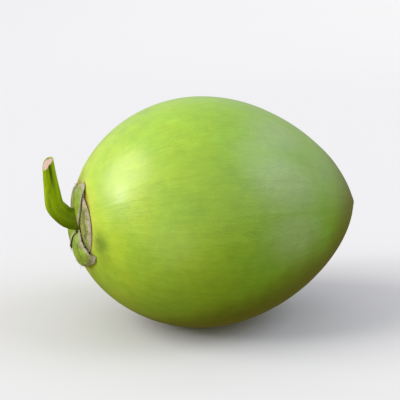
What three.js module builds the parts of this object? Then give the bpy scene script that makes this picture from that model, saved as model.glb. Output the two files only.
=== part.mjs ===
// A green coconut as picked, lying on one of its three flatter sides. It is a smooth husk, the six
// leathery lobes of the cap that the flower left on its base, and the cut stub of the fruit stalk.
// Millimetres, +Z up, +X from the base to the tip. The origin is in the flat spot that the husk
// rests on, below the middle of its weight.

import * as THREE from 'three'

// Husk
const HUSK_LENGTH = 210
const HUSK_RADIUS = 81.7
const BASE_FULLNESS = 0.142
const END_TAPER = -0.109
const TIP_TAPER = 0.013
const RIDGE_HEIGHT = 0.028
const RIDGE_ANGLE = -30
const SIDE_FULLNESS = 0.007
const SIDE_ANGLE = 35
const SOCKET_DEPTH = 7.5
const SOCKET_RADIUS = 17
const NUB_HEIGHT = 9.6
const NUB_RADIUS = 11
const NUB_ROUNDING = 2
const HUSK_RINGS = 46
const HUSK_SIDES = 60
const RING_CROWDING = 0.5
const SURFACE_STEP = 0.01

// Place of the husk over the surface that it rests on
const AXIS_HEIGHT = 78
const BASE_TO_REST = 98.75

// Cap: three inner lobes (petals) under three outer ones (sepals), each layer clear of the next
const CLEARANCE = 0.3
const LOBE_THICKNESS = 1.2
const MARGIN_THICKNESS = 0.6
const TIP_THINNING = 0.5
const TIP_HALF_WIDTH = 3
const CURL_START = 0.7
const BULGE_SKEW = 0.5
const LOBE_ROWS = 15
const LOBE_COLUMNS = 12
const ROW_CROWDING = 1.4
const PETAL_LIFT = 1.3
const PETAL_RAMP = 38
const PETAL_SPREAD = 73
const PETAL_ROUNDNESS = 0.7
const PETAL_INNER_RADIUS = 9.8
const PETAL_INNER_SHIFT = 3.4
const SEPAL_HEIGHT = 2.95
const SEPAL_DROP = 0.7
const SEPAL_DROP_START = 7
const SEPAL_DROP_SPAN = 18
const SEPAL_SPREAD = 47
const SEPAL_ROUNDNESS = 0.9
const SEPAL_INNER_RADIUS = 11.4
const SEPAL_INNER_SHIFT = 3.8
const LOBE_PERIOD = 120

// Waves of a torn edge, as a share of the spread
const LONG_TEARS = { height: 0.07, count: 13 }
const SHORT_TEARS = { height: 0.05, count: 29 }

// Each lobe: the angle that it points to round the husk's axis, its reach from that axis, how far
// its tip leans round and how blunt it is, where the waves of its torn edge start, and the height that
// its tip, its middle and its two sides gain
const PETALS = [
  { angle: 8, reach: 31.5, lean: 0, blunt: 3.2, wave: 0.4, curl: 0.1, bulge: 0, rise: [0, 0] },
  { angle: 128, reach: 28.5, lean: 0, blunt: 1.8, wave: 2.1, curl: 0.5, bulge: 0, rise: [0, 0] },
  { angle: 248, reach: 31.5, lean: 0, blunt: 3.2, wave: 4.4, curl: 0.5, bulge: 0, rise: [0, 0] }
]
const SEPALS = [
  { angle: 50, reach: 32, lean: 18, blunt: 0.8, wave: 1.2, curl: -0.9, bulge: 0.4, rise: [0, 0] },
  { angle: 204, reach: 32, lean: 8, blunt: 1.8, wave: 3.3, curl: 0.6, bulge: 1, rise: [0, 2.2] },
  { angle: 310, reach: 35.5, lean: 23, blunt: 1, wave: 5.1, curl: -1.7, bulge: 1.8, rise: [2.2, 0] }
]

// Stalk: its middle line starts inside the socket, level but over the husk's axis, and turns up in
// two bends. Their places are distances along it from its root.
const STALK_LENGTH = 50.3
const STALK_DEPTH = 5
const STALK_RISE = 4
const FIRST_BEND = { start: 1, end: 14, angle: 47 }
const SECOND_BEND = { start: 16, end: 25, angle: 37 }
const MIDDLE_RADIUS = 6.6
const CUT_RADIUS = 3.9
const TAPER_START = 8
const TAPER_END = 54
const ROOT_FLARE = 1.4
const FLARE_LENGTH = 7
const STALK_RINGS = 28
const STALK_SIDES = 20
const STEPS_PER_RING = 10
const ROOT_POINT_DEPTH = 1.1

// Section of the stalk. The flutes deepen from the root, the groove opens towards the cut, and the cut
// slants the last rings, at shares of the stalk's length.
const FLUTES = { count: 3, depth: 0.1, angle: 20, fullAt: 0.4 }
const GROOVE = { depth: 0.24, angle: -75, halfWidth: 20, opensAt: 0.5, fullAt: 0.9 }
const CUT = { slope: 1, angle: -145, startsAt: 0.8 }

const radians = THREE.MathUtils.degToRad
const smoothstep = THREE.MathUtils.smoothstep

// An angle brought to within half a period of zero
function wrapped(angle, period) {
  return THREE.MathUtils.euclideanModulo(angle + period / 2, period) - period / 2
}

// The husk's surface in its own frame, with the base pole at the origin and the long axis along +X.
// polar runs from 0 at the base to PI at the tip. turn runs round the axis, in degrees, from the side
// at -Y upwards. The radius is a sine, shaped at its two ends by a cubic in the cosine and swelled by
// three soft ridges. The base is hollowed by a socket and the tip drawn out into a nub.
function huskPoint(polar, turn) {
  const cosine = Math.cos(polar)
  const shape = 1 + BASE_FULLNESS * cosine + END_TAPER * cosine ** 2 + TIP_TAPER * cosine ** 3
  const ridges = RIDGE_HEIGHT * Math.cos(3 * radians(turn - RIDGE_ANGLE))
  const fuller = SIDE_FULLNESS * Math.cos(2 * radians(turn - SIDE_ANGLE))
  const round = HUSK_RADIUS * Math.sin(polar) * shape
  const radius = round * (1 + ridges + fuller)
  const socket = SOCKET_DEPTH * Math.exp(-((round / SOCKET_RADIUS) ** 2))
  const nub = NUB_HEIGHT * Math.exp(-Math.hypot(round, NUB_ROUNDING) / NUB_RADIUS)
  const along = HUSK_LENGTH / 2 * (1 - cosine) + (cosine > 0 ? socket : nub)
  const y = -radius * Math.cos(radians(turn))
  const z = radius * Math.sin(radians(turn))
  return new THREE.Vector3(along, y, z)
}

// A point that stands off the husk's surface, straight out of it, by a height
function overHusk(polar, turn, height) {
  const alongSurface = huskPoint(polar + SURFACE_STEP, turn).sub(huskPoint(polar - SURFACE_STEP, turn))
  const roundSurface = huskPoint(polar, turn + 1).sub(huskPoint(polar, turn - 1))
  const outward = alongSurface.cross(roundSurface).normalize()
  return huskPoint(polar, turn).addScaledVector(outward, height)
}

// The polar angle at which the base end of the husk reaches a distance from its axis
function polarAtRadius(radius) {
  return Math.asin(radius / (HUSK_RADIUS * (1 + BASE_FULLNESS + END_TAPER + TIP_TAPER)))
}

function facetedBody(points, faces) {
  const geometry = new THREE.BufferGeometry()
  geometry.setFromPoints(points)
  geometry.setIndex(faces)
  geometry.computeVertexNormals()
  return geometry
}

// A closed body through rings of points that turn right-handed about the way they follow one
// another, with a point that closes each end
function bodyOfRings(startPoint, rings, endPoint) {
  const sides = rings[0].length
  const points = [startPoint, ...rings.flat(), endPoint]
  const end = points.length - 1
  const at = (ring, side) => 1 + ring * sides + side % sides
  const faces = []
  for (let side = 0; side < sides; side++) {
    faces.push(0, at(0, side + 1), at(0, side))
    for (let ring = 0; ring < rings.length - 1; ring++) {
      faces.push(at(ring, side), at(ring, side + 1), at(ring + 1, side + 1))
      faces.push(at(ring, side), at(ring + 1, side + 1), at(ring + 1, side))
    }
    faces.push(end, at(rings.length - 1, side), at(rings.length - 1, side + 1))
  }
  return facetedBody(points, faces)
}

// A closed body between an outer and an inner grid of points, with the same rows and columns
function bodyOfSheets(outer, inner) {
  const rows = outer.length
  const columns = outer[0].length
  const points = [...outer.flat(), ...inner.flat()]
  const outside = (row, column) => row * columns + column
  const inside = (row, column) => rows * columns + outside(row, column)
  const faces = []
  for (let row = 0; row < rows - 1; row++) {
    for (let column = 0; column < columns - 1; column++) {
      faces.push(outside(row, column), outside(row + 1, column), outside(row + 1, column + 1))
      faces.push(outside(row, column), outside(row + 1, column + 1), outside(row, column + 1))
      faces.push(inside(row, column), inside(row + 1, column + 1), inside(row + 1, column))
      faces.push(inside(row, column), inside(row, column + 1), inside(row + 1, column + 1))
    }
  }
  const rim = []
  for (let column = 0; column < columns - 1; column++) rim.push([0, column])
  for (let row = 0; row < rows - 1; row++) rim.push([row, columns - 1])
  for (let column = columns - 1; column > 0; column--) rim.push([rows - 1, column])
  for (let row = rows - 1; row > 0; row--) rim.push([row, 0])
  rim.forEach((here, index) => {
    const next = rim[(index + 1) % rim.length]
    faces.push(outside(...here), outside(...next), inside(...next))
    faces.push(outside(...here), inside(...next), inside(...here))
  })
  return facetedBody(points, faces)
}

// Husk: rings round the long axis, closer together at the two ends, with all that would reach below
// the resting surface pressed flat on it
function huskGeometry() {
  const rings = []
  for (let ring = 1; ring < HUSK_RINGS; ring++) {
    const share = ring / HUSK_RINGS
    const crowding = RING_CROWDING * Math.sin(2 * Math.PI * share) / (2 * Math.PI)
    const polar = Math.PI * (share - crowding)
    const points = []
    for (let side = 0; side < HUSK_SIDES; side++) {
      const point = huskPoint(polar, -360 * side / HUSK_SIDES)
      point.z = Math.max(point.z, -AXIS_HEIGHT)
      points.push(point)
    }
    rings.push(points)
  }
  return bodyOfRings(huskPoint(0, 0), rings, huskPoint(Math.PI, 0))
}

// A torn edge, as a factor on the spread: two waves of unlike length, which grow towards the tip
function tornEdge(share, wave) {
  const long = LONG_TEARS.height * Math.sin(LONG_TEARS.count * share + wave)
  const short = SHORT_TEARS.height * Math.sin(SHORT_TEARS.count * share + 2 * wave)
  return 1 + share * (long + short)
}

// A lobe's half-spread in degrees, at a share of the way to its tip
function halfSpread(share, spread, bluntness, roundness) {
  const narrowing = (1 - share ** bluntness) ** roundness
  return TIP_HALF_WIDTH + (spread - TIP_HALF_WIDTH) * narrowing
}

// The height that a lobe gains at a share of the way to its tip and a place across it, from -1 to 1
function gainedHeight(lobe, share, across) {
  const curl = lobe.curl * smoothstep(share, CURL_START, 1)
  const bulge = lobe.bulge * (1 - across ** 4)
  const rise = lobe.rise[across < 0 ? 0 : 1] * across ** 2
  return curl + (bulge + rise) * Math.sin(Math.PI * share ** BULGE_SKEW)
}

// Lobe: a sheet that lies over the husk, thick in the middle and thin along its torn margin. spread
// gives its half-spread at a share of the way to the tip, floor the height of its inner side over the
// husk at an angle round the axis.
function lobeGeometry(lobe, innerRadius, spread, floor) {
  const outer = []
  const inner = []
  for (let row = 0; row < LOBE_ROWS; row++) {
    const share = 1 - (1 - row / (LOBE_ROWS - 1)) ** ROW_CROWDING
    const outerRow = []
    const innerRow = []
    for (let column = 0; column < LOBE_COLUMNS; column++) {
      const across = 2 * column / (LOBE_COLUMNS - 1) - 1
      const edge = tornEdge(share, lobe.wave + Math.sign(across))
      const turn = lobe.angle + lobe.lean * share ** 2 + across * spread(share) * edge
      const start = polarAtRadius(innerRadius(turn))
      const polar = start + (polarAtRadius(lobe.reach) - start) * share
      const body = (1 - across ** 2) * (1 - TIP_THINNING * share)
      const thickness = MARGIN_THICKNESS + (LOBE_THICKNESS - MARGIN_THICKNESS) * body
      const height = floor(turn) + gainedHeight(lobe, share, across)
      outerRow.push(overHusk(polar, turn, height + thickness))
      innerRow.push(overHusk(polar, turn, height))
    }
    outer.push(outerRow)
    inner.push(innerRow)
  }
  return bodyOfSheets(outer, inner)
}

// Petals: broad and round, each with one side on the husk and the other over its neighbour
function petalGeometry(petal) {
  const innerRadius = (turn) => PETAL_INNER_RADIUS + PETAL_INNER_SHIFT * Math.sin(radians(turn))
  const spread = (share) => halfSpread(share, PETAL_SPREAD, petal.blunt, PETAL_ROUNDNESS)
  const floor = (turn) => CLEARANCE + PETAL_LIFT * smoothstep(turn - petal.angle, -PETAL_RAMP, PETAL_RAMP)
  return lobeGeometry(petal, innerRadius, spread, floor)
}

// Sepals: pointed, lying over the petals, and dipping just past the edge of each petal below
function sepalGeometry(sepal) {
  const innerRadius = (turn) => SEPAL_INNER_RADIUS + SEPAL_INNER_SHIFT * Math.sin(radians(turn))
  const spread = (share) => halfSpread(share, SEPAL_SPREAD, sepal.blunt, SEPAL_ROUNDNESS)
  const dipStart = PETALS[0].angle + PETAL_SPREAD + SEPAL_DROP_START
  const floor = (turn) => {
    const pastStart = wrapped(turn - dipStart, LOBE_PERIOD)
    const down = smoothstep(pastStart, 0, SEPAL_DROP_SPAN)
    const up = smoothstep(pastStart, SEPAL_DROP_SPAN, 2 * SEPAL_DROP_SPAN)
    return SEPAL_HEIGHT - SEPAL_DROP * (down - up)
  }
  return lobeGeometry(sepal, innerRadius, spread, floor)
}

// The stalk's middle line and its direction at each ring. The heading is the sum of the two bends, and
// the line adds up short steps along it.
function stalkStations() {
  const step = STALK_LENGTH / ((STALK_RINGS - 1) * STEPS_PER_RING)
  const bendAt = (distance, bend) => radians(bend.angle) * smoothstep(distance, bend.start, bend.end)
  const wayAt = (distance) => {
    const heading = bendAt(distance, FIRST_BEND) + bendAt(distance, SECOND_BEND)
    return new THREE.Vector3(-Math.cos(heading), 0, Math.sin(heading))
  }
  const stations = []
  const centre = new THREE.Vector3(STALK_DEPTH, 0, STALK_RISE)
  for (let count = 0; count <= (STALK_RINGS - 1) * STEPS_PER_RING; count++) {
    const distance = count * step
    if (count % STEPS_PER_RING === 0) {
      stations.push({ centre: centre.clone(), along: wayAt(distance), distance })
    }
    centre.addScaledVector(wayAt(distance + step / 2), step)
  }
  return stations
}

// Stalk: a fluted section carried along the middle line, with a groove along its outer side and a
// slanting cut
function stalkGeometry() {
  const stations = stalkStations()
  const sideways = new THREE.Vector3(0, 1, 0)
  const rings = stations.map(({ centre, along, distance }) => {
    const share = distance / STALK_LENGTH
    const towardsHusk = new THREE.Vector3().crossVectors(sideways, along)
    const taper = smoothstep(distance, TAPER_START, TAPER_END)
    const flare = ROOT_FLARE * Math.exp(-((distance / FLARE_LENGTH) ** 2))
    const radius = THREE.MathUtils.lerp(MIDDLE_RADIUS, CUT_RADIUS, taper) + flare
    const points = []
    for (let side = 0; side < STALK_SIDES; side++) {
      const turn = 360 * side / STALK_SIDES
      const wave = Math.cos(FLUTES.count * radians(turn + FLUTES.angle))
      const flute = FLUTES.depth * smoothstep(share, 0, FLUTES.fullAt) * wave
      const fromGroove = wrapped(turn - GROOVE.angle, 360) / GROOVE.halfWidth
      const opening = smoothstep(share, GROOVE.opensAt, GROOVE.fullAt)
      const groove = GROOVE.depth * opening * Math.exp(-(fromGroove ** 2))
      const size = radius * (1 + flute - groove)
      const slant = -CUT.slope * size * Math.cos(radians(turn - CUT.angle))
      const point = centre.clone().addScaledVector(towardsHusk, size * Math.cos(radians(turn)))
      point.addScaledVector(sideways, size * Math.sin(radians(turn)))
      points.push(point.addScaledVector(along, slant * smoothstep(share, CUT.startsAt, 1)))
    }
    return points
  })
  const rootPoint = stations[0].centre.clone().add(new THREE.Vector3(ROOT_POINT_DEPTH, 0, 0))
  return bodyOfRings(rootPoint, rings, stations.at(-1).centre)
}

function piece(name, geometry, color, roughness) {
  const mesh = new THREE.Mesh(geometry, new THREE.MeshStandardMaterial({ color, roughness, metalness: 0 }))
  mesh.name = name
  return mesh
}

const fruit = new THREE.Group()
fruit.position.set(-BASE_TO_REST, 0, AXIS_HEIGHT)
fruit.add(piece('husk', huskGeometry(), '#9cc83a', 0.4))
PETALS.forEach((petal, index) => {
  fruit.add(piece(`petal_${index + 1}`, petalGeometry(petal), '#a9a46a', 0.7))
})
SEPALS.forEach((sepal, index) => {
  fruit.add(piece(`sepal_${index + 1}`, sepalGeometry(sepal), '#93a83c', 0.6))
})
fruit.add(piece('stalk', stalkGeometry(), '#6d8713', 0.5))

const coconut = new THREE.Group()
coconut.add(fruit)

export default coconut
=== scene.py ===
"""A green coconut as picked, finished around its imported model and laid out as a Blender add-on.

The husk, the stalk and the six lobes of the cap are surfaces worked out on grids from the same
formulas as the solids that they replace, with the fine relief, the torn margins and the fibres added.
"""

import math

import bpy
import numpy as np
from bpy.props import FloatProperty, FloatVectorProperty, IntProperty, PointerProperty
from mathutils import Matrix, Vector


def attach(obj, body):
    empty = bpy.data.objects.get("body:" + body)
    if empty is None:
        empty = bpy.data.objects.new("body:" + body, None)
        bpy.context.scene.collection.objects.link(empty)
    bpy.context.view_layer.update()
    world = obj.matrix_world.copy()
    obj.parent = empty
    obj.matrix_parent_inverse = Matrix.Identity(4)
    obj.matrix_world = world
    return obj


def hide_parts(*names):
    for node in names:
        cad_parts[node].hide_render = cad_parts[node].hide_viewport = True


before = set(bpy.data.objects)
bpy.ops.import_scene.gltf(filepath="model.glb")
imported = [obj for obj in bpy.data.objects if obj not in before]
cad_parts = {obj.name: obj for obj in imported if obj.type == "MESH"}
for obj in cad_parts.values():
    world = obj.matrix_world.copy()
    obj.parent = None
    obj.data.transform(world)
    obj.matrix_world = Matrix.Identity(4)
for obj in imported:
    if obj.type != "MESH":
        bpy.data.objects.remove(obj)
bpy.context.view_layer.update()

bl_info = {
    "name": "Green coconut",
    "version": (1, 0, 0),
    "blender": (4, 5, 0),
    "location": "3D View > Sidebar > Coconut",
    "description": "Builds a green coconut with its cap and stalk stub, and a plain stage",
    "category": "Add Mesh",
}

MM = 0.001

# Husk, in metres and radians
BASE_FULLNESS = 0.142
END_TAPER = -0.109
TIP_TAPER = 0.013
RIDGE_ANGLE = math.radians(-30)
SIDE_FULLNESS = 0.007
SIDE_ANGLE = math.radians(35)
SOCKET_DEPTH = 7.5 * MM
SOCKET_RADIUS = 17 * MM
NUB_HEIGHT = 9.6 * MM
NUB_RADIUS = 11 * MM
NUB_ROUNDING = 2 * MM
BASE_TO_REST = 98.75 * MM
REST_EDGE = 0.4 * MM
HUSK_RINGS = 250
HUSK_SIDES = 360
RING_CROWDING = 0.5

# Soft spots on the husk's skin: polar angle and turn round the axis, both in radians, width in
# radians, and strength
BRUISES = (
    (0.46, -0.12, 0.1, 0.9), (0.53, 0.02, 0.05, 0.4), (0.5, -0.32, 0.11, 0.5), (1.15, 0.8, 0.07, 0.35),
    (1.45, 0.55, 0.09, 0.3), (1.3, 0.45, 0.38, 0.3))
SCUFFS = ((1.9, 0.2, 0.03, 0.5), (1.05, 1.3, 0.04, 0.5), (2.3, 2.1, 0.06, 0.6), (0.75, 2.6, 0.04, 0.5))
CREASES = (
    (0.78, 0.38, 0.13, 1), (1.15, 0.95, 0.1, 0.5), (1.75, 0.55, 0.2, 0.6), (1.6, 0.1, 0.2, 0.5),
    (0.9, 2.2, 0.14, 0.8))
# Spots of greyish sheen on the right side and the top: partly the waxy coat's own colour, partly a painted
# reflection
BLOOM_AND_SHEEN = (
    (1.84, 0.95, 0.24, 0.9), (1.84, 0.45, 0.3, 1), (1.86, 0, 0.26, 0.9), (2.1, 0.6, 0.35, 0.5),
    (1.2, 2.6, 0.4, 0.8))

# Marks and dents at drawn places, and the relief's fibre bundles: count, shift and height in mm
MARK_SEED = 23
MARK_COUNT = 16
DENT_SEED = 11
DENT_COUNT = 14
BUNDLES = ((37, 0.3, 0.03), (61, 1.7, 0.02), (89, 4.1, 0.015))

# Cap lobes
CLEARANCE = 0.3 * MM
TIP_THINNING = 0.5
TIP_HALF_WIDTH = math.radians(3)
CURL_START = 0.7
LOBE_ROWS = 110
LOBE_COLUMNS = 100
ROW_CROWDING = 1.4
BULGE_SKEW = 0.5
PETAL_LIFT = 1.3 * MM
PETAL_RAMP = math.radians(38)
PETAL_SPREAD = math.radians(73)
PETAL_INNER_RADIUS = 9.8 * MM
PETAL_INNER_SHIFT = 3.4 * MM
SEPAL_HEIGHT = 2.95 * MM
SEPAL_DROP = 0.7 * MM
SEPAL_DROP_START = math.radians(7)
SEPAL_DROP_SPAN = math.radians(18)
SEPAL_SPREAD = math.radians(47)
SEPAL_INNER_RADIUS = 11.4 * MM
SEPAL_INNER_SHIFT = 3.8 * MM
LOBE_PERIOD = 2 * math.pi / 3
TIP_SETTLING = 0.8
VEINS = 34
VEIN_HEIGHT = 0.03 * MM

# Fibres at the lobes' rims, with lengths and radii in millimetres
FIBRE_SEED = 5
FIBRE_ROOT = 0.97
FIBRE_SPREAD = 0.35
FIBRE_LEAN = 0.15
FIBRE_LENGTHS = (1.2, 4.5)
FIBRE_RADII = (0.05, 0.11)

# Each lobe: angle round the husk's axis and lean of its tip, in degrees; reach from the axis, in
# millimetres; bluntness of its tip; start of its torn waves; height that its tip, its middle and its
# two sides gain, in millimetres
PETALS = (
    dict(angle=8, reach=31.5, lean=0, blunt=3.2, wave=0.4, curl=0.1, bulge=0, rise=(0, 0)),
    dict(angle=128, reach=28.5, lean=0, blunt=1.8, wave=2.1, curl=0.5, bulge=0, rise=(0, 0)),
    dict(angle=248, reach=31.5, lean=0, blunt=3.2, wave=4.4, curl=0.5, bulge=0, rise=(0, 0)),
)
SEPALS = (
    dict(angle=50, reach=32, lean=18, blunt=0.8, wave=1.2, curl=-0.9, bulge=0.4, rise=(0, 0)),
    dict(angle=204, reach=32, lean=8, blunt=1.8, wave=3.3, curl=0.6, bulge=1, rise=(0, 2.2)),
    dict(angle=310, reach=35.5, lean=23, blunt=1, wave=5.1, curl=-1.7, bulge=1.8, rise=(2.2, 0)),
)

# Stalk: places of its bends and taper along its middle line, from the root
STALK_DEPTH = 5 * MM
STALK_RISE = 4 * MM
FIRST_BEND = (1 * MM, 14 * MM, math.radians(47))
SECOND_BEND = (16 * MM, 25 * MM, math.radians(37))
STALK_TAPER = (8 * MM, 54 * MM)
ROOT_FLARE = 1.4 * MM
FLARE_LENGTH = 7 * MM
ROOT_POINT_DEPTH = 1.1 * MM
STALK_RINGS = 220
STALK_SIDES = 180
CUT_RINGS = 14
FLUTES = 3
FLUTE_DEPTH = 0.1
FLUTE_ANGLE = math.radians(20)
GROOVE_DEPTH = 0.24
GROOVE_ANGLE = math.radians(-75)
GROOVE_HALF_WIDTH = math.radians(20)
CUT_SLOPE = 1
CUT_ANGLE = math.radians(-145)
CUT_DIP = 0.5 * MM


def linear(hex_colour):
    """An sRGB hex colour as linear red, green and blue, by the sRGB curve."""
    channels = [int(hex_colour[i:i + 2], 16) / 255 for i in (1, 3, 5)]
    return tuple(c / 12.92 if c <= 0.04045 else ((c + 0.055) / 1.055) ** 2.4 for c in channels)


def colour_property(name, description, hex_colour):
    """A colour that a user may change, with an sRGB hex colour as its default."""
    return FloatVectorProperty(
        name=name, description=description, default=linear(hex_colour),
        subtype="COLOR", size=3, min=0, max=1)


def length_property(name, description, metres):
    """A length that a user may change, in metres."""
    return FloatProperty(
        name=name, description=description, default=metres, unit="LENGTH", subtype="DISTANCE", min=0)


class HuskSettings(bpy.types.PropertyGroup):
    """Sizes and colours of the husk."""
    length: length_property("Length", "Base pole to tip, without the nub", 210 * MM)
    radius: length_property("Radius", "Radius of the sine that the section swells by", 81.7 * MM)
    axis_height: length_property("Axis height", "Height of the long axis over the floor", 78 * MM)
    ridge_height: FloatProperty(
        name="Ridge height", description="Height of the three ridges as a share of the radius",
        default=0.028, min=0, max=0.2)
    middle: colour_property("Middle", "Green round the middle", "#85b124")
    base: colour_property("Base", "Yellow green at the stalk end", "#b9d63c")
    cool: colour_property("Cool", "Cooler green of the clouds", "#7fb83c")
    # Painted shade: olive green mixed in low on the husk, where its underside falls in shade
    tip: colour_property("Tip", "Duller green at the tip", "#6f7d1c")
    underside_shade: colour_property("Flank", "Olive green low on the flanks", "#707815")
    bruise: colour_property("Bruise", "Dark green of bruises and pores", "#67852a")
    # Greyish sheen colour: partly the waxy coat's own grey, partly a painted reflection
    wax_and_sheen: colour_property("Wax", "Greyish bloom of wax", "#b3c49a")
    ring: colour_property("Ring", "Pale yellow green where the cap shaded the skin", "#cfd957")
    stain: colour_property("Stain", "Brown stain along the cap's rim", "#ad9a2c")
    scar: colour_property("Scar", "Dry brown scar on the tip", "#6e4c22")


class CapSettings(bpy.types.PropertyGroup):
    """Sizes and colours of the cap's lobes."""
    thickness: length_property("Thickness", "Thickness in the middle of a lobe", 1.2 * MM)
    margin: length_property("Margin", "Thickness of the papery margin", 0.3 * MM)
    sepal_green: colour_property("Sepal green", "Green of the outer lobes", "#93b03a")
    petal_green: colour_property("Petal green", "Green of the inner lobes", "#a4ab5a")
    olive: colour_property("Olive", "Duller patches of the lobes", "#5f7038")
    papery: colour_property("Papery", "Dry papery margin", "#b9ad9b")
    torn: colour_property("Torn", "Torn edge and fibres", "#9a8d76")
    rust: colour_property("Rust", "Rusty spots", "#7d5a30")
    fibres: IntProperty(name="Fibres", description="Frayed fibres on each lobe", default=70, min=0)


class StalkSettings(bpy.types.PropertyGroup):
    """Sizes and colours of the stalk stub."""
    length: length_property("Length", "Along its middle, from the socket to the cut", 50.3 * MM)
    middle_radius: length_property("Middle radius", "Radius at the first bend", 6.6 * MM)
    cut_radius: length_property("Cut radius", "Radius at the cut", 3.9 * MM)
    rind: colour_property("Rind", "Green of the rind", "#9dbc00")
    shade: colour_property("Shade", "Dark green of grooves and streaks", "#4f6600")
    cut: colour_property("Cut", "Pale pith of the cut", "#cfb0a6")
    bruise: colour_property("Bruise", "Brown rim of the cut", "#84643c")
    scar: colour_property("Scar", "Brown scars of the rind", "#5c5a14")


class StageSettings(bpy.types.PropertyGroup):
    """Camera, lights and floor."""
    azimuth: FloatProperty(
        name="Azimuth", description="Camera's turn round the fruit, from the -Y side",
        default=math.radians(-19), subtype="ANGLE", unit="ROTATION")
    elevation: FloatProperty(
        name="Elevation", description="Camera's height over the horizon",
        default=math.radians(13), subtype="ANGLE", unit="ROTATION")
    view_angle: FloatProperty(
        name="View angle", description="Angle across the picture",
        default=math.radians(28), subtype="ANGLE", unit="ROTATION")
    floor: colour_property("Floor", "Pale floor", "#dbdadd")
    bounce: colour_property("Bounce", "Warm light from below", "#f0d450")


def smoothstep(value, low, high):
    """0 below low, 1 above high, and a smooth cubic between."""
    share = np.clip((value - low) / (high - low), 0, 1)
    return share * share * (3 - 2 * share)


def husk_point(polar, turn):
    """A point of the husk's skin. polar runs from 0 at the base to pi at the tip; turn runs round the
    axis from the side at -Y upwards. The radius is a sine of polar, shaped at its ends by a cubic in
    the cosine and swelled by three ridges. The base is hollowed by a socket and the tip drawn out into
    a nub. What would reach below the floor is pressed flat on it, with a softened edge."""
    s = bpy.context.scene.coconut_husk
    cosine = np.cos(polar)
    shape = 1 + BASE_FULLNESS * cosine + END_TAPER * cosine ** 2 + TIP_TAPER * cosine ** 3
    ridges = s.ridge_height * np.cos(3 * (turn - RIDGE_ANGLE))
    fuller = SIDE_FULLNESS * np.cos(2 * (turn - SIDE_ANGLE))
    round_radius = s.radius * np.sin(polar) * shape
    radius = round_radius * (1 + ridges + fuller)
    socket = SOCKET_DEPTH * np.exp(-(round_radius / SOCKET_RADIUS) ** 2)
    nub = NUB_HEIGHT * np.exp(-np.hypot(round_radius, NUB_ROUNDING) / NUB_RADIUS)
    along = s.length / 2 * (1 - cosine) + np.where(cosine > 0, socket, nub)
    height = s.axis_height + radius * np.sin(turn)
    rested = (height + np.hypot(height, REST_EDGE)) / 2
    return np.stack((along - BASE_TO_REST, -radius * np.cos(turn), rested), axis=-1)


def over_husk(polar, turn, height):
    """A point that stands off the skin by a height, straight out of it: the skin's point plus the
    height along the cross product of its two directions."""
    step = 0.01
    along = husk_point(polar + step, turn) - husk_point(polar - step, turn)
    across = husk_point(polar, turn + step) - husk_point(polar, turn - step)
    outward = np.cross(along, across)
    outward /= np.linalg.norm(outward, axis=-1, keepdims=True)
    return husk_point(polar, turn) + outward * np.asarray(height)[..., None]


def polar_at_radius(radius):
    """The polar angle at which the base end reaches a distance from the axis: the arcsine of the
    distance over the radius that the cubic gives at the base."""
    s = bpy.context.scene.coconut_husk
    return np.arcsin(radius / (s.radius * (1 + BASE_FULLNESS + END_TAPER + TIP_TAPER)))


def make_piece(name, points, faces, attributes, material, replaced=()):
    """A mesh object from points and faces, with smooth shading and its attributes, riding on the
    fruit's one body."""
    mesh = bpy.data.meshes.new(name)
    mesh.from_pydata(points.reshape(-1, 3).tolist(), [], faces)
    mesh.shade_smooth()
    for label, values in attributes.items():
        kind = "FLOAT_VECTOR" if values.ndim == 2 else "FLOAT"
        field = "vector" if values.ndim == 2 else "value"
        attribute = mesh.attributes.new(label, kind, "POINT")
        attribute.data.foreach_set(field, values.astype(np.float32).ravel())
    mesh.materials.append(material)
    piece = bpy.data.objects.new(name, mesh)
    bpy.context.scene.collection.objects.link(piece)
    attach(piece, "root")
    if replaced:
        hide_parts(*replaced)
    return piece


def wrapped_faces(rows, sides, first):
    """Quads between the rings of a grid that closes on itself, from the index of its first point."""
    row, side = np.meshgrid(np.arange(rows - 1), np.arange(sides), indexing="ij")
    here = first + row * sides + side
    beside = first + row * sides + (side + 1) % sides
    return np.stack((here, beside, beside + sides, here + sides), axis=-1).reshape(-1, 4)


def closed_by_points(rows, sides):
    """Faces of rings closed by a start point, index 0, and an end point, the last index."""
    side = np.arange(sides)
    beside = (side + 1) % sides
    last_ring = 1 + (rows - 1) * sides
    end = 1 + rows * sides
    start_fan = np.stack((np.zeros_like(side), 1 + beside, 1 + side), axis=-1)
    end_fan = np.stack((np.full_like(side, end), last_ring + side, last_ring + beside), axis=-1)
    return wrapped_faces(rows, sides, 1).tolist() + start_fan.tolist() + end_fan.tolist()


def sheet_faces(rows, columns):
    """Faces of a body between an outer and an inner grid of points, closed round its rim."""
    row, column = np.meshgrid(np.arange(rows - 1), np.arange(columns - 1), indexing="ij")
    here = row * columns + column
    outer = np.stack((here, here + columns, here + columns + 1, here + 1), axis=-1).reshape(-1, 4)
    inner = rows * columns + outer[:, ::-1]
    index = np.arange(rows * columns).reshape(rows, columns)
    rim = np.concatenate((index[0, :-1], index[:-1, -1], index[-1, :0:-1], index[:0:-1, 0]))
    onward = np.roll(rim, -1)
    band = np.stack((rim, onward, rows * columns + onward, rows * columns + rim), axis=-1)
    return outer.tolist() + inner.tolist() + band.tolist()


def node(tree, kind, inputs=(), **settings):
    """Adds a shader node. settings are its properties; inputs gives a socket, by name or number, a
    value or another node's output."""
    new = tree.nodes.new("ShaderNode" + kind)
    for name, value in settings.items():
        setattr(new, name, value)
    for key, value in dict(inputs).items():
        if isinstance(value, bpy.types.NodeSocket):
            tree.links.new(value, new.inputs[key])
        else:
            new.inputs[key].default_value = value
    return new


def new_material(name):
    """A material with an empty node tree, its tree, and its shader."""
    material = bpy.data.materials.new(name)
    material.use_nodes = True
    tree = material.node_tree
    tree.nodes.clear()
    shader = node(tree, "BsdfPrincipled")
    node(tree, "OutputMaterial", {"Surface": shader.outputs[0]})
    return material, tree, shader


def rgba(colour):
    """A colour with full opacity, as a shader's colour socket takes it."""
    return (*colour, 1)


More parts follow.
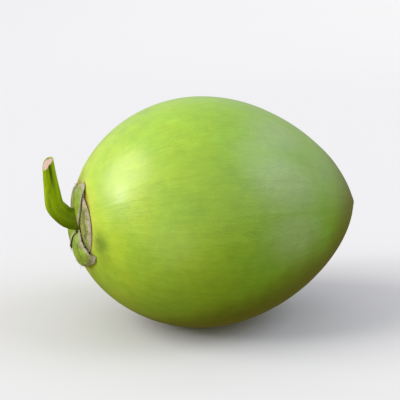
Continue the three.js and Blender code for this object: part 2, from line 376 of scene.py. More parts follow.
def shade_in(tree, colour, mask, start, end, strength, over):
    """Mixes a colour in where the mask runs from start to end, smoothly up to a strength."""
    share = node(tree, "MapRange", {0: mask, 1: start, 2: end, 3: 0, 4: strength},
                 interpolation_type="SMOOTHSTEP").outputs[0]
    return node(tree, "Mix", {0: share, 6: colour, 7: rgba(over)}, data_type="RGBA").outputs[2]


def brighten(tree, colour, pattern, dark, light):
    """Multiplies a colour by a factor that follows a noise pattern."""
    factor = node(tree, "MapRange", {0: pattern, 1: 0.3, 2: 0.7, 3: dark, 4: light}).outputs[0]
    mixed = node(tree, "Mix", {0: 1, 6: colour, 7: factor}, data_type="RGBA", blend_type="MULTIPLY")
    return mixed.outputs[2]


def husk_material():
    """Cuticle of a young coconut: smooth skin under a thin waxy coat over long fibres. That gives the eye a
    soft highlight in a broad sheen, faint streaks from stalk to tip, mottles and small scuffs. Part of the
    broad greyish sheen is a painted sheen, the olive low down and towards the tip is painted shade, and the
    crinkles carry painted shade and glints."""
    s = bpy.context.scene.coconut_husk
    meridian = 300 * MM
    # Width, length and waviness of the streaks, the hair lines and the crinkles
    fibres = ((1.8 * MM, 18 * MM, 0), (0.6 * MM, 5 * MM, 0), (1.4 * MM, 5 * MM, 1.6))
    material, tree, shader = new_material("waxy_coconut_cuticle")
    place = node(tree, "TexCoord").outputs["Object"]
    grain = node(tree, "Attribute", attribute_name="grain").outputs["Vector"]
    from_base, from_tip, marks, scuffs, bloom_and_sheen, creases = [
        node(tree, "Attribute", attribute_name=name).outputs["Fac"]
        for name in ("from_base", "from_tip", "marks", "scuffs", "bloom_and_sheen", "creases")]
    height = node(tree, "SeparateXYZ", {0: place}).outputs["Z"]

    along_grain = []
    for width, length, twist in fibres:
        scale = (s.radius / width, s.radius / width, meridian / length)
        lines = node(tree, "Mapping", {"Vector": grain, "Scale": scale}).outputs[0]
        along_grain.append(node(
            tree, "TexNoise", {"Vector": lines, "Scale": 1, "Detail": 3, "Distortion": twist}).outputs[0])
    streaks, hairs, wrinkle = along_grain
    mottle, cloud, skin = [
        node(tree, "TexNoise", {
            "Vector": place, "Scale": 1 / size, "Detail": detail, "Roughness": 0.6}).outputs[0]
        for size, detail in ((9 * MM, 5), (38 * MM, 3), (1.3 * MM, 2))]

    colour = shade_in(tree, rgba(s.middle), from_base, 0.15, 0.03, 1, s.base)
    colour = shade_in(tree, colour, cloud, 0.45, 0.65, 0.3, s.cool)
    colour = shade_in(tree, colour, from_tip, 0.085, 0.025, 0.9, s.tip)
    # Painted shade: the olive grows the lower a point stands and the nearer it is to the tip
    reach = node(tree, "Math", {0: cloud, 1: 0.03, 2: height}, operation="MULTIPLY_ADD").outputs[0]
    reach = node(tree, "Math", {0: from_tip, 1: 0.5, 2: reach}, operation="MULTIPLY_ADD").outputs[0]
    colour = shade_in(tree, colour, reach, 0.138, 0.104, 0.9, s.underside_shade)
    colour = shade_in(tree, colour, marks, 0, 1, 0.8, s.bruise)
    # Greyish sheen: the waxy coat's own grey plus a painted reflection on the right side and the top
    colour = shade_in(tree, colour, bloom_and_sheen, 0, 1, 0.42, s.wax_and_sheen)
    # Painted shade and glints on the crinkles: the colour darkens and lightens along them as light on their
    # relief would
    painted_crease_glint, painted_crease_shade = [
        node(tree, "MapRange", {0: creases, 3: 1 + change / 4, 4: 1 + change}).outputs[0]
        for change in (0.12, -0.16)]
    for pattern, dark, light in (
            (streaks, 0.96, 1.03), (hairs, 0.95, 1.04), (mottle, 0.92, 1.06),
            (wrinkle, painted_crease_shade, painted_crease_glint)):
        colour = brighten(tree, colour, pattern, dark, light)
    ragged_scuffs = node(tree, "Math", {0: hairs, 1: -0.8, 2: scuffs}, operation="MULTIPLY_ADD").outputs[0]
    colour = shade_in(tree, colour, ragged_scuffs, 0.1, 0.3, 0.45, s.scar)
    dots = node(tree, "TexVoronoi", {"Vector": place, "Scale": 1 / (5 * MM)}).outputs["Distance"]
    colour = shade_in(tree, colour, dots, 0.12, 0.05, 0.3, s.ring)
    pores = node(tree, "TexVoronoi", {"Vector": place, "Scale": 1 / (11 * MM)}).outputs["Distance"]
    colour = shade_in(tree, colour, pores, 0.07, 0.03, 0.5, s.bruise)

    ragged = node(tree, "Math", {0: mottle, 1: -0.016, 2: from_base}, operation="MULTIPLY_ADD").outputs[0]
    freckles = node(tree, "Math", {0: from_base, 1: -4, 2: wrinkle}, operation="MULTIPLY_ADD").outputs[0]
    colour = shade_in(tree, colour, freckles, 0.48, 0.56, 0.4, s.stain)
    colour = shade_in(tree, colour, ragged, 0.031, 0.021, 0.7, s.ring)
    colour = shade_in(tree, colour, ragged, 0.0245, 0.0215, 0.7, s.stain)
    colour = shade_in(tree, colour, from_tip, 4.5 * MM, 1.5 * MM, 0.9, s.scar)

    tree.links.new(colour, shader.inputs["Base Color"])
    rough = node(tree, "MapRange", {0: mottle, 1: 0.3, 2: 0.7, 3: 0.38, 4: 0.48}).outputs[0]
    tree.links.new(rough, shader.inputs["Roughness"])
    relief = node(tree, "Math", {0: hairs, 1: 0.6, 2: skin}, operation="MULTIPLY_ADD").outputs[0]
    creased = node(tree, "MapRange", {0: creases, 3: 0.6, 4: 6}).outputs[0]
    relief = node(tree, "Math", {0: wrinkle, 1: creased, 2: relief}, operation="MULTIPLY_ADD").outputs[0]
    bump = node(tree, "Bump", {"Height": relief, "Distance": 0.06 * MM, "Strength": 0.7})
    tree.links.new(bump.outputs[0], shader.inputs["Normal"])
    shader.inputs["IOR"].default_value = 1.45
    shader.inputs["Coat Weight"].default_value = 0.35
    shader.inputs["Coat Roughness"].default_value = 0.22
    shader.inputs["Sheen Weight"].default_value = 0.04
    return material


def lobe_material(name, green):
    """Leathery lobe of the cap, dried towards its margin. That gives the eye a green middle with
    parallel veins and olive patches, a greyish papery border that frays, and faint rusty spots."""
    s = bpy.context.scene.coconut_cap
    half_width, span = 20 * MM, 30 * MM
    vein_width, vein_length = 0.77 * MM, 10 * MM
    material, tree, shader = new_material(name)
    place = node(tree, "TexCoord").outputs["Object"]
    sheet = node(tree, "Attribute", attribute_name="sheet").outputs["Vector"]
    edge = node(tree, "Attribute", attribute_name="edge").outputs["Fac"]
    scale = (half_width / vein_width, span / vein_length, 1)
    lines = node(tree, "Mapping", {"Vector": sheet, "Scale": scale}).outputs[0]
    veins = node(tree, "TexNoise", {"Vector": lines, "Scale": 1, "Detail": 3}).outputs[0]
    blotch, patch = [
        node(tree, "TexNoise", {
            "Vector": place, "Scale": 1 / size, "Detail": 4, "Roughness": 0.65}).outputs[0]
        for size in (4 * MM, 11 * MM)]
    ragged = node(tree, "Math", {0: blotch, 1: 0.9, 2: edge}, operation="MULTIPLY_ADD").outputs[0]
    colour = shade_in(tree, rgba(green), patch, 0.45, 0.65, 0.7, s.olive)
    colour = shade_in(tree, colour, ragged, 0.95, 1.25, 0.95, s.papery)
    colour = brighten(tree, colour, veins, 0.72, 1.22)
    colour = brighten(tree, colour, blotch, 0.75, 1.2)
    colour = shade_in(tree, colour, ragged, 1.28, 1.5, 0.8, s.torn)
    rust = node(tree, "TexNoise", {
        "Vector": place, "Scale": 1 / (2.4 * MM), "Detail": 4, "Distortion": 0.8}).outputs[0]
    colour = shade_in(tree, colour, rust, 0.61, 0.74, 0.7, s.rust)
    tree.links.new(colour, shader.inputs["Base Color"])
    rough = node(tree, "MapRange", {0: ragged, 1: 0.95, 2: 1.25, 3: 0.5, 4: 0.85}).outputs[0]
    tree.links.new(rough, shader.inputs["Roughness"])
    relief = node(tree, "Math", {0: blotch, 1: 0.5, 2: veins}, operation="MULTIPLY_ADD").outputs[0]
    bump = node(tree, "Bump", {"Height": relief, "Distance": 0.15 * MM, "Strength": 0.8})
    tree.links.new(bump.outputs[0], shader.inputs["Normal"])
    return material


def stalk_material():
    """Rind of a cut fruit stalk: ribbed, fibrous and slightly waxy, and moist pale pith where it was cut.
    That gives the eye long streaks of two greens, painted shade at the root and in the groove, and a
    pinkish cut."""
    s = bpy.context.scene.coconut_stalk
    streak_width, streak_length = 1.1 * MM, 10 * MM
    material, tree, shader = new_material("fibrous_stalk_rind")
    place = node(tree, "TexCoord").outputs["Object"]
    grain = node(tree, "Attribute", attribute_name="grain").outputs["Vector"]
    groove, cut = [
        node(tree, "Attribute", attribute_name=name).outputs["Fac"] for name in ("groove", "cut")]
    share = node(tree, "SeparateXYZ", {0: grain}).outputs["Z"]
    scale = (s.middle_radius / streak_width, s.middle_radius / streak_width, s.length / streak_length)
    lines = node(tree, "Mapping", {"Vector": grain, "Scale": scale}).outputs[0]
    streaks = node(tree, "TexNoise", {"Vector": lines, "Scale": 1, "Detail": 4}).outputs[0]
    pith, patch = [
        node(tree, "TexNoise", {"Vector": place, "Scale": 1 / size, "Detail": 3}).outputs[0]
        for size in (0.7 * MM, 5 * MM)]
    colour = shade_in(tree, rgba(s.rind), streaks, 0.35, 0.75, 0.5, s.shade)
    # Painted shade: the full shade colour in the groove, and darker towards the root where the stalk sits
    # in the cap
    colour = shade_in(tree, colour, groove, 0, 1, 1, s.shade)
    colour = shade_in(tree, colour, share, 0.5, 0.1, 0.62, s.shade)
    colour = shade_in(tree, colour, patch, 0.58, 0.72, 0.6, s.scar)
    inside = brighten(tree, rgba(s.cut), pith, 0.8, 1.1)
    ragged = node(tree, "Math", {0: patch, 1: -0.5, 2: cut}, operation="MULTIPLY_ADD").outputs[0]
    inside = shade_in(tree, inside, ragged, 0.05, -0.15, 0.9, s.bruise)
    is_cut = node(tree, "MapRange", {0: cut, 1: 0.08, 2: 0.15, 3: 0, 4: 1}).outputs[0]
    colour = node(tree, "Mix", {0: is_cut, 6: colour, 7: inside}, data_type="RGBA").outputs[2]
    tree.links.new(colour, shader.inputs["Base Color"])
    shader.inputs["Roughness"].default_value = 0.6
    shader.inputs["Specular IOR Level"].default_value = 0.15
    bump = node(tree, "Bump", {"Height": streaks, "Distance": 0.25 * MM, "Strength": 0.7})
    tree.links.new(bump.outputs[0], shader.inputs["Normal"])
    return material


def fibre_material():
    """Dry coconut fibre: dull and straw-like. That gives the eye a matt grey-brown fringe."""
    s = bpy.context.scene.coconut_cap
    material, tree, shader = new_material("dry_fibre")
    place = node(tree, "TexCoord").outputs["Object"]
    tone = node(tree, "TexNoise", {"Vector": place, "Scale": 1 / (3 * MM), "Detail": 2}).outputs[0]
    fade = node(tree, "MapRange", {0: tone, 1: 0.35, 2: 0.65, 3: 0, 4: 1}).outputs[0]
    colour = node(tree, "Mix", {0: fade, 6: rgba(s.torn), 7: rgba(s.papery)}, data_type="RGBA")
    tree.links.new(colour.outputs[2], shader.inputs["Base Color"])
    shader.inputs["Roughness"].default_value = 0.9
    return material


def spots_over(polar, turn, spots):
    """How strongly round soft spots mark the skin, from 0 to 1. Each spot has a polar angle, a turn, a
    width and a strength, and falls off with the square of the distance from its middle."""
    marks = np.zeros(np.broadcast(polar, turn).shape)
    for at_polar, at_turn, width, strength in spots:
        away = (polar - at_polar) ** 2 + (np.sin(polar) * 2 * np.sin((turn - at_turn) / 2)) ** 2
        marks = np.maximum(marks, strength * np.exp(-away / width ** 2))
    return marks


def husk_relief(polar, turn):
    """Low relief of the skin, in metres: long fibre bundles as cosines of several counts round the
    axis, which fade towards both ends, and shallow dents as round bumps of depth at drawn places."""
    fade = np.sin(polar)
    bundles = np.zeros(np.broadcast(polar, turn).shape)
    for count, shift, height in BUNDLES:
        bundles += height * MM * np.cos(count * turn + shift + 2.2 * np.sin(2 * polar + shift))
    draw = np.random.default_rng(DENT_SEED)
    dents = np.zeros_like(bundles)
    for _ in range(DENT_COUNT):
        at_polar, at_turn = draw.uniform(0.5, 2.7), draw.uniform(-math.pi, math.pi)
        width, depth = draw.uniform(0.08, 0.25), draw.uniform(-0.25, 0.45) * MM
        away = (polar - at_polar) ** 2 + (np.sin(polar) * 2 * np.sin((turn - at_turn) / 2)) ** 2
        dents -= depth * np.exp(-away / width ** 2)
    return bundles * fade + dents


class COCONUT_OT_husk(bpy.types.Operator):
    """Builds the husk's skin in place of the husk"""
    bl_idname = "coconut.husk"
    bl_label = "Husk"

    def execute(self, context):
        """Rings of the husk's points and their relief, at polar angles from 0 to pi that a sine crowds
        towards both ends, closed by its two poles."""
        share = np.arange(1, HUSK_RINGS)[:, None] / HUSK_RINGS
        polar = math.pi * (share - RING_CROWDING * np.sin(2 * math.pi * share) / (2 * math.pi))
        turn = -2 * math.pi * np.arange(HUSK_SIDES)[None, :] / HUSK_SIDES
        polar, turn = np.broadcast_arrays(polar, turn)
        rings = over_husk(polar, turn, husk_relief(polar, turn))
        poles = husk_point(np.array([0, math.pi]), np.zeros(2))
        points = np.concatenate((poles[:1], rings.reshape(-1, 3), poles[1:]))
        grain = np.stack((np.cos(turn), np.sin(turn), polar / math.pi), axis=-1).reshape(-1, 3)
        ends = np.array([[1, 0, 0], [1, 0, 1]], float)
        attributes = {
            "grain": np.concatenate((ends[:1], grain, ends[1:])),
            "from_base": np.linalg.norm(points - poles[0], axis=-1),
            "from_tip": np.linalg.norm(points - poles[1], axis=-1),
        }
        draw = np.random.default_rng(MARK_SEED)
        marks = list(BRUISES)
        for _ in range(MARK_COUNT):
            place = draw.uniform(0.7, 2.9), draw.uniform(0.3, 2.8)
            marks.append((*place, draw.uniform(0.02, 0.12), draw.uniform(0.2, 0.5)))
        for name, spots in (("marks", marks), ("scuffs", SCUFFS), ("bloom_and_sheen", BLOOM_AND_SHEEN), ("creases", CREASES)):
            attributes[name] = np.concatenate(([0], spots_over(polar, turn, spots).ravel(), [0]))
        faces = closed_by_points(HUSK_RINGS - 1, HUSK_SIDES)
        make_piece("husk_skin", points, faces, attributes, husk_material(), ["husk"])
        return {"FINISHED"}


def torn_edge(share, side, wave):
    """A torn margin as a factor on its spread: two waves of unlike length that grow towards the tip,
    finer tears, and a few notches at drawn places."""
    start = wave + side
    waves = 0.07 * np.sin(13 * share + start) + 0.05 * np.sin(29 * share + start + wave)
    tears = 0.012 * np.sin(71 * share + 3 * start) + 0.01 * np.sin(127 * share + 5 * start)
    draw = np.random.default_rng(int(100 * wave) + int(side + 1))
    notches = np.zeros_like(share)
    for _ in range(5):
        middle, width, depth = draw.uniform(0.35, 0.95), draw.uniform(0.008, 0.02), draw.uniform(0.03, 0.1)
        notches += depth * np.exp(-((share - middle) / width) ** 2)
    return 1 + share * (waves + tears) - notches


def half_spread(share, spread, bluntness, roundness):
    """A lobe's half-spread at a share of the way to its tip: a power of 1 less a power of the share."""
    return TIP_HALF_WIDTH + (spread - TIP_HALF_WIDTH) * (1 - share ** bluntness) ** roundness


def lobe_surface(lobe, share, across, inner_radius, outline, floor, lifted):
    """Outer and inner points of a lobe at a share of the way to its tip and a place across it, from
    -1 to 1. The inner one stands over the husk by the floor's height, plus the curl of the tip, the
    bulge of the middle and the rise of one side, all of which settle on the husk near the tip, and
    ripples along the margin. The outer one stands over that by a thickness, with parallel veins."""
    s = bpy.context.scene.coconut_cap
    side = np.sign(across)
    edge = np.where(side > 0, torn_edge(share, 1, lobe["wave"]), torn_edge(share, -1, lobe["wave"]))
    lean = math.radians(lobe["lean"]) * share ** 2
    turn = math.radians(lobe["angle"]) + lean + across * outline(share) * edge
    start = polar_at_radius(inner_radius(turn))
    polar = start + (polar_at_radius(lobe["reach"] * MM) - start) * share
    body = (1 - across ** 2) * (1 - TIP_THINNING * share)
    thickness = s.margin + (s.thickness - s.margin) * body
    ripple = lifted * across ** 4 * (1 + np.sin(19 * share + lobe["wave"] * 3 + side)) * share
    curl = lobe["curl"] * smoothstep(share, CURL_START, 1)
    bulge = lobe["bulge"] * (1 - across ** 4)
    near, far = lobe["rise"]
    rise = np.where(side < 0, near, far) * across ** 2
    gained = curl + (bulge + rise) * np.sin(math.pi * share ** BULGE_SKEW)
    settled = 1 - TIP_SETTLING * smoothstep(share, 0.8, 1)
    height = (floor(turn) + gained * MM) * settled + ripple
    veins = VEIN_HEIGHT * np.cos(VEINS * across) * (1 - across ** 2)
    return over_husk(polar, turn, height + thickness + veins), over_husk(polar, turn, height)


def petal_shape(lobe):
    """Petal: broad and round, one side on the husk and the other over its neighbour."""
    angle = math.radians(lobe["angle"])
    return {
        "inner_radius": lambda turn: PETAL_INNER_RADIUS + PETAL_INNER_SHIFT * np.sin(turn),
        "outline": lambda share: half_spread(share, PETAL_SPREAD, lobe["blunt"], 0.7),
        "floor": lambda turn: CLEARANCE + PETAL_LIFT * smoothstep(turn - angle, -PETAL_RAMP, PETAL_RAMP),
        "lifted": 0.1 * MM,
    }


def sepal_shape(lobe):
    """Sepal: pointed, over the petals, dipping just past the edge of each petal below."""
    dip_start = math.radians(PETALS[0]["angle"]) + PETAL_SPREAD + SEPAL_DROP_START

    def floor(turn):
        past_start = np.mod(turn - dip_start + LOBE_PERIOD / 2, LOBE_PERIOD) - LOBE_PERIOD / 2
        down = smoothstep(past_start, 0, SEPAL_DROP_SPAN)
        up = smoothstep(past_start, SEPAL_DROP_SPAN, 2 * SEPAL_DROP_SPAN)
        return SEPAL_HEIGHT - SEPAL_DROP * (down - up)

    return {
        "inner_radius": lambda turn: SEPAL_INNER_RADIUS + SEPAL_INNER_SHIFT * np.sin(turn),
        "outline": lambda share: half_spread(share, SEPAL_SPREAD, lobe["blunt"], 0.9),
        "floor": floor,
        "lifted": 0.25 * MM,
    }


def build_lobe(name, lobe, shape, material):
    """One lobe as a closed body between its outer and inner grids, whose rows a power crowds towards
    the tip. The edge attribute is the larger of the square of the place across and the cube of the
    share."""
    share = 1 - (1 - np.linspace(0, 1, LOBE_ROWS)[:, None]) ** ROW_CROWDING
    across = np.linspace(-1, 1, LOBE_COLUMNS)[None, :]
    share, across = np.broadcast_arrays(share, across)
    outer, inner = lobe_surface(lobe, share, across, **shape)
    points = np.concatenate((outer.reshape(-1, 3), inner.reshape(-1, 3)))
    sheet = np.stack((across, share, np.full_like(share, lobe["wave"])), axis=-1).reshape(-1, 3)
    edge = np.maximum(np.abs(across) ** 2, share ** 3).ravel()
    attributes = {"sheet": np.tile(sheet, (2, 1)), "edge": np.tile(edge, 2)}
    faces = sheet_faces(LOBE_ROWS, LOBE_COLUMNS)
    make_piece(name + "_blade", points, faces, attributes, material, [name])


class COCONUT_OT_petals(bpy.types.Operator):
    """Builds the three inner lobes of the cap in place of the petals"""
    bl_idname = "coconut.petals"
    bl_label = "Petals"

    def execute(self, context):
        material = lobe_material("dried_petal", context.scene.coconut_cap.petal_green)
        for number, petal in enumerate(PETALS, 1):
            build_lobe(f"petal_{number}", petal, petal_shape(petal), material)
        return {"FINISHED"}


class COCONUT_OT_sepals(bpy.types.Operator):
    """Builds the three outer lobes of the cap in place of the sepals"""
    bl_idname = "coconut.sepals"
    bl_label = "Sepals"

    def execute(self, context):
        material = lobe_material("leathery_sepal", context.scene.coconut_cap.sepal_green)
        for number, sepal in enumerate(SEPALS, 1):
            build_lobe(f"sepal_{number}", sepal, sepal_shape(sepal), material)
        return {"FINISHED"}


class COCONUT_OT_fibres(bpy.types.Operator):
    """Frays the margins of the lobes into loose fibres"""
    bl_idname = "coconut.fibres"
    bl_label = "Fibres"

    def execute(self, context):
        """Roots drawn just inside the rims of the lobes, each with a way that runs out over the rim,
        turned at random."""
        draw = np.random.default_rng(FIBRE_SEED)
        count = context.scene.coconut_cap.fibres
        if not count:
            raise ValueError("the cap needs at least one fibre on each lobe")
        roots, ways = [], []
        shapes = [(p, petal_shape(p)) for p in PETALS] + [(s, sepal_shape(s)) for s in SEPALS]
        for lobe, shape in shapes:
            share = draw.uniform(0.3, 1, count)
            side = np.where(draw.uniform(size=count) < 0.5, -1.0, 1.0)
            root, _ = lobe_surface(lobe, share, side * FIBRE_ROOT, **shape)
            edge, _ = lobe_surface(lobe, share, side, **shape)
            roots.append(root)
            ways.append(edge - root)
        root, way = np.concatenate(roots), np.concatenate(ways)
        way /= np.linalg.norm(way, axis=-1, keepdims=True)
        way += draw.normal(0, FIBRE_SPREAD, way.shape) + np.array([FIBRE_LEAN, 0, 0])
        points, faces = fibre_tubes(root, way, draw)
        make_piece("cap_fibres", points, faces, {}, fibre_material())
        return {"FINISHED"}


def fibre_tubes(root, way, draw):
    """Tapered tubes with five rings of four points: each ring's middle is the root plus the way times
    a length, plus a bend that grows with the square of the distance."""
    count, rings, sides = len(root), 5, 4
    share = np.linspace(0, 1, rings)[None, :, None]
    length = draw.uniform(*FIBRE_LENGTHS, (count, 1, 1)) * MM
    bend = draw.normal(0, 0.3, (count, 1, 3)) * length
    middle = root[:, None] + way[:, None] * length * share + bend * share ** 2
    along = way / np.linalg.norm(way, axis=-1, keepdims=True)
    first = np.cross(along, [0.3, 0.5, 0.8])
    first /= np.linalg.norm(first, axis=-1, keepdims=True)
    second = np.cross(along, first)
    angle = 2 * math.pi * np.arange(sides) / sides
    ring = np.cos(angle)[:, None] * first[:, None] + np.sin(angle)[:, None] * second[:, None]
    radius = draw.uniform(*FIBRE_RADII, (count, 1, 1, 1)) * MM * (1 - 0.85 * share[..., None])
    points = middle[:, :, None] + ring[:, None] * radius
    faces = wrapped_faces(rings, sides, 0)[None] + np.arange(count)[:, None, None] * rings * sides
    start = np.arange(sides)[::-1][None] + np.arange(count)[:, None] * rings * sides
    end = np.arange(sides)[None] + (rings - 1) * sides + np.arange(count)[:, None] * rings * sides
    return points, faces.reshape(-1, 4).tolist() + start.tolist() + end.tolist()


def stalk_middle(distance):
    """The stalk's middle line at distances from its root, and its heading. The heading is the sum of
    two smooth bends, and the line is the running sum of the heading's steps."""
    s = bpy.context.scene.coconut_husk
    heading = sum(turn * smoothstep(distance, start, end) for start, end, turn in (FIRST_BEND, SECOND_BEND))
    middle = (heading[1:] + heading[:-1]) / 2
    step = np.diff(distance)
    out = np.concatenate(([0], np.cumsum(step * np.cos(middle)))) - STALK_DEPTH
    up = np.concatenate(([0], np.cumsum(step * np.sin(middle)))) + STALK_RISE
    line = np.stack((-out - BASE_TO_REST, np.zeros_like(out), up + s.axis_height), axis=-1)
    return line, heading


class COCONUT_OT_stalk(bpy.types.Operator):
    """Builds the stalk's rind and cut in place of the stalk"""
    bl_idname = "coconut.stalk"
    bl_label = "Stalk"

    def execute(self, context):
        """Rings across the middle line. Each ring's radius tapers from the flared root to the cut and is
        multiplied by three flutes, one groove that falls off as a bell curve, and two counts of fine
        ribs. Near the end the rings slant by a cosine round the stalk, and the last one shrinks to the
        middle of the cut, which is hollowed by a fourth power."""
        s = context.scene.coconut_stalk
        distance = np.linspace(0, s.length, STALK_RINGS)
        line, heading = stalk_middle(distance)
        along = np.stack((-np.cos(heading), np.zeros_like(heading), np.sin(heading)), axis=-1)
        inward = np.stack((np.sin(heading), np.zeros_like(heading), np.cos(heading)), axis=-1)
        sideways = np.array([0, 1, 0])
        share = (distance / s.length)[:, None]
        turn = 2 * math.pi * np.arange(STALK_SIDES)[None, :] / STALK_SIDES
        radius = s.middle_radius + (s.cut_radius - s.middle_radius) * smoothstep(distance, *STALK_TAPER)
        radius = (radius + ROOT_FLARE * np.exp(-(distance / FLARE_LENGTH) ** 2))[:, None]
        flute = FLUTE_DEPTH * smoothstep(share, 0, 0.4) * np.cos(FLUTES * (turn + FLUTE_ANGLE))
        away = np.mod(turn - GROOVE_ANGLE + math.pi, 2 * math.pi) - math.pi
        groove = smoothstep(share, 0.5, 0.9) * np.exp(-(away / GROOVE_HALF_WIDTH) ** 2)
        ribs = 0.012 * np.cos(17 * turn + 1.3 * np.sin(5 * share)) + 0.008 * np.cos(29 * turn + 2)
        size = radius * (1 + flute - GROOVE_DEPTH * groove + ribs * smoothstep(share, 0.05, 0.3))
        cut = -CUT_SLOPE * size * np.cos(turn - CUT_ANGLE) * smoothstep(share, 0.8, 1)
        round_way = np.cos(turn)[..., None] * inward[:, None] + np.sin(turn)[..., None] * sideways
        rings = line[:, None] + size[..., None] * round_way + cut[..., None] * along[:, None]
        shrink = (1 - np.arange(1, CUT_RINGS) / CUT_RINGS)[:, None, None]
        dip = CUT_DIP * (1 - shrink ** 4)
        face = line[-1] + (rings[-1] - line[-1]) * shrink - dip * along[-1]
        points = np.concatenate((
            [line[0] + np.array([ROOT_POINT_DEPTH, 0, 0])],
            rings.reshape(-1, 3),
            face.reshape(-1, 3),
            [line[-1] - CUT_DIP * along[-1]],
        ))
        count = STALK_RINGS + CUT_RINGS - 1
        zeros = np.zeros(STALK_RINGS * STALK_SIDES)
        cut_share = np.repeat(np.arange(1, CUT_RINGS) / CUT_RINGS, STALK_SIDES)
        grain = np.stack(np.broadcast_arrays(np.cos(turn), np.sin(turn), share), axis=-1).reshape(-1, 3)
        face_grain = np.tile(grain[-STALK_SIDES:], (CUT_RINGS - 1, 1))
        attributes = {
            "grain": np.concatenate((grain[:1], grain, face_grain, grain[-1:])),
            "groove": np.concatenate(([0], groove.ravel(), np.zeros(len(face_grain) + 1))),
            "cut": np.concatenate(([0], zeros, cut_share, [1])),
        }
        faces = closed_by_points(count, STALK_SIDES)
        make_piece("stalk_rind", points, faces, attributes, stalk_material(), ["stalk"])
        return {"FINISHED"}


# Stage, in metres
FLOOR_START = 0.02
FLOOR_RADIUS = 6.0
FLOOR_FLAT = 1.6
FLOOR_RISE = 0.9
FLOOR_CURVE = 1.5
FLOOR_DROP = 0.2 * MM
FLOOR_RINGS = 60
FLOOR_SIDES = 96
CAMERA_TARGET = (-5.95 * MM, 0, 10.3 * MM)
MM_A_PIXEL = 0.72 * MM
PICTURE_SIDE = 400
# Each light: azimuth, elevation and width in degrees, strength and colour
LIGHTS = {
    "key_light": (-95, 36, 40, 1.9, "#fffdf4"),
    "window_light": (-88, 25, 12, 0.45, "#ffffff"),
    "fill_light": (66, 44, 36, 0.7, "#e8f0ff"),
    "front_light": (-35, -8, 40, 0.5, "#fff8dc"),
}


def direction(azimuth, elevation):
    """Unit vector from the fruit towards a place, by azimuth and elevation in radians. Azimuth 0 is
    the -Y side, and a quarter turn the +X side."""
    flat = math.cos(elevation)
    return Vector((math.sin(azimuth) * flat, -math.cos(azimuth) * flat, math.sin(elevation)))


def add_sun(name, azimuth, elevation, width, strength, colour):
    """A far round soft light as wide as an angle in degrees."""
    light = bpy.data.lights.new(name, "SUN")
    light.energy = strength
    light.angle = math.radians(width)
    light.color = linear(colour)
    sun = bpy.data.objects.new(name, light)
    towards = direction(math.radians(azimuth), math.radians(elevation))
    sun.rotation_euler = towards.to_track_quat("Z", "Y").to_euler()
    bpy.context.scene.collection.objects.link(sun)


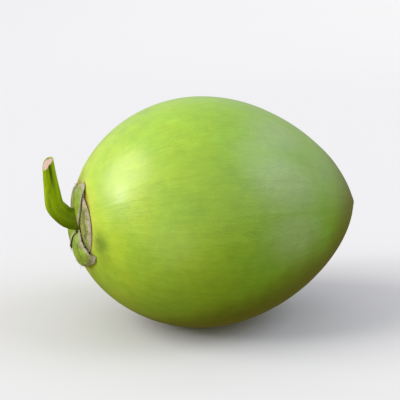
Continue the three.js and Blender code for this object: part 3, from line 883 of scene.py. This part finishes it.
class COCONUT_OT_stage(bpy.types.Operator):
    """Adds the floor, the lights and the camera"""
    bl_idname = "coconut.stage"
    bl_label = "Stage"

    def execute(self, context):
        """A round floor that is flat in the middle and rises smoothly towards its rim, a sky that is
        brighter and whiter above than below, the lights, and the camera as far off as its view angle
        asks."""
        s = context.scene.coconut_stage
        scene = context.scene
        radius = np.linspace(FLOOR_START, FLOOR_RADIUS, FLOOR_RINGS)[:, None]
        turn = 2 * math.pi * np.arange(FLOOR_SIDES)[None, :] / FLOOR_SIDES
        rise = FLOOR_RISE * smoothstep(radius, FLOOR_FLAT, FLOOR_RADIUS) ** FLOOR_CURVE - FLOOR_DROP
        points = np.stack(np.broadcast_arrays(radius * np.cos(turn), radius * np.sin(turn), rise), axis=-1)
        faces = wrapped_faces(FLOOR_RINGS, FLOOR_SIDES, 0).tolist() + [list(range(FLOOR_SIDES))]
        mesh = bpy.data.meshes.new("floor")
        mesh.from_pydata(points.reshape(-1, 3).tolist(), [], faces)
        mesh.shade_smooth()
        material, _, shader = new_material("pale_paper_floor")
        shader.inputs["Base Color"].default_value = rgba(s.floor)
        shader.inputs["Roughness"].default_value = 1
        shader.inputs["Specular IOR Level"].default_value = 0
        mesh.materials.append(material)
        floor = bpy.data.objects.new("floor", mesh)
        scene.collection.objects.link(floor)
        floor.visible_diffuse = False
        floor.visible_glossy = False
        floor.visible_shadow = False

        world = bpy.data.worlds.new("studio")
        scene.world = world
        world.use_nodes = True
        tree = world.node_tree
        tree.nodes.clear()
        up = node(tree, "TexCoord").outputs["Generated"]
        up = node(tree, "SeparateXYZ", {0: up}).outputs["Z"]
        strength = node(tree, "MapRange", {0: up, 1: -0.15, 2: 0.35, 3: 0.15, 4: 0.72}).outputs[0]
        above = node(tree, "MapRange", {0: up, 1: -0.3, 2: 0.1, 3: 0, 4: 1}).outputs[0]
        tint = node(tree, "Mix", {0: above, 6: rgba(s.bounce), 7: (1, 1, 1, 1)}, data_type="RGBA")
        sky = node(tree, "Background", {"Color": tint.outputs[2], "Strength": strength})
        node(tree, "OutputWorld", {"Surface": sky.outputs[0]})
        for name, light in LIGHTS.items():
            add_sun(name, *light)

        scene.view_settings.view_transform = "Standard"
        camera = bpy.data.objects.new("camera", bpy.data.cameras.new("camera"))
        camera.data.angle = s.view_angle
        distance = PICTURE_SIDE / 2 * MM_A_PIXEL / math.tan(s.view_angle / 2)
        target = Vector(CAMERA_TARGET) + Vector((0, 0, scene.coconut_husk.axis_height))
        back = direction(s.azimuth, s.elevation)
        camera.location = target + back * distance
        camera.rotation_euler = back.to_track_quat("Z", "Y").to_euler()
        scene.collection.objects.link(camera)
        scene.camera = camera
        return {"FINISHED"}


class COCONUT_PT_panel(bpy.types.Panel):
    """Lists the fruit's pieces and the stage"""
    bl_idname = "COCONUT_PT_panel"
    bl_label = "Coconut"
    bl_space_type = "VIEW_3D"
    bl_region_type = "UI"
    bl_category = "Coconut"

    def draw(self, context):
        for operator in OPERATORS:
            self.layout.operator(operator.bl_idname)


SETTINGS = {
    "coconut_husk": HuskSettings,
    "coconut_cap": CapSettings,
    "coconut_stalk": StalkSettings,
    "coconut_stage": StageSettings,
}
OPERATORS = (
    COCONUT_OT_husk, COCONUT_OT_petals, COCONUT_OT_sepals, COCONUT_OT_fibres, COCONUT_OT_stalk,
    COCONUT_OT_stage)


def register():
    for name, group in SETTINGS.items():
        bpy.utils.register_class(group)
        setattr(bpy.types.Scene, name, PointerProperty(type=group))
    for kind in (*OPERATORS, COCONUT_PT_panel):
        bpy.utils.register_class(kind)


def unregister():
    for kind in (*OPERATORS, COCONUT_PT_panel):
        bpy.utils.unregister_class(kind)
    for name, group in SETTINGS.items():
        delattr(bpy.types.Scene, name)
        bpy.utils.unregister_class(group)


def main():
    register()
    bpy.ops.coconut.stage()
    bpy.ops.coconut.husk()
    bpy.ops.coconut.petals()
    bpy.ops.coconut.sepals()
    bpy.ops.coconut.fibres()
    bpy.ops.coconut.stalk()


if __name__ == "__main__":
    main()
